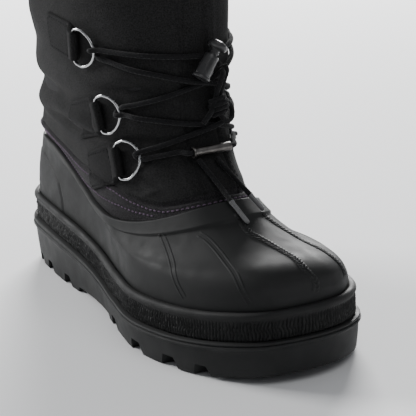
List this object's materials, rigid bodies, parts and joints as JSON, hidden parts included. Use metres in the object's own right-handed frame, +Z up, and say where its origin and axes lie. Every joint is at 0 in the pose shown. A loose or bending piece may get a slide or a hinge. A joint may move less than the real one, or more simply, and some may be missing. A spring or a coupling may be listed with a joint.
{
  "type": "snow boot",
  "caption": "Black winter pac boot, right foot: lugged rubber sole, smooth rubber shell, tall cloth shaft, round lace through D-rings",
  "frame": {"origin": "On the ground under the middle of the boot's box, midway from heel to toe and from side to side", "axes": "+X from heel to toe, +Z up, -Y the lateral (outer) side of a right foot"},
  "size_m": [0.312, 0.1182, 0.256],
  "materials": {
    "sole_rubber": "satin moulded rubber",
    "foxing_rubber": "dull, finely ribbed rubber",
    "shell_rubber": "smooth satin rubber",
    "cloth": "matt woven nylon canvas",
    "tab_cloth": "coated cloth with box stitching",
    "lace": "round braided polyester",
    "ring_steel": "bright plated steel wire",
    "gunmetal": "dark plated metal",
    "lock_plastic": "satin plastic",
    "aglet_plastic": "satin plastic",
    "felt": "felt"
  },
  "bodies": {
    "boot": {"outsole": "sole_rubber", "foxing_band": "foxing_rubber", "rubber_shell": "shell_rubber", "shaft": "cloth", "insole": "felt", "tab_lateral_upper": "tab_cloth", "d_ring_lateral_upper": "ring_steel", "tab_lateral_middle": "tab_cloth", "d_ring_lateral_middle": "ring_steel", "tab_lateral_lower": "tab_cloth", "d_ring_lateral_lower": "ring_steel", "tab_medial_upper": "tab_cloth", "d_ring_medial_upper": "ring_steel", "tab_medial_middle": "tab_cloth", "d_ring_medial_middle": "ring_steel", "tab_medial_lower": "tab_cloth", "d_ring_medial_lower": "ring_steel", "lace_crossing_low": "lace", "lace_crossing_high": "lace", "lace_base": "lace", "lace_tube": "gunmetal", "lace_top_lateral": "lace", "lace_top_medial": "lace", "lace_tail_left": "lace", "lace_tail_right": "lace", "lace_loop": "lace", "lace_end_near": "lace", "lace_end_far": "lace", "lace_knot": "lace", "aglet_near": "aglet_plastic", "aglet_far": "aglet_plastic", "lock_barrel": "gunmetal"},
    "lock_button": {"lock_button": "lock_plastic"}
  },
  "joints": [
    {"name": "lock_press", "type": "slide", "parent": "boot", "child": "lock_button", "axis": [0.06, -0.6129, -0.7879], "range_m": [0, 0.003], "stiffness_N_per_m": 400, "springref_m": -0.008}
  ]
}
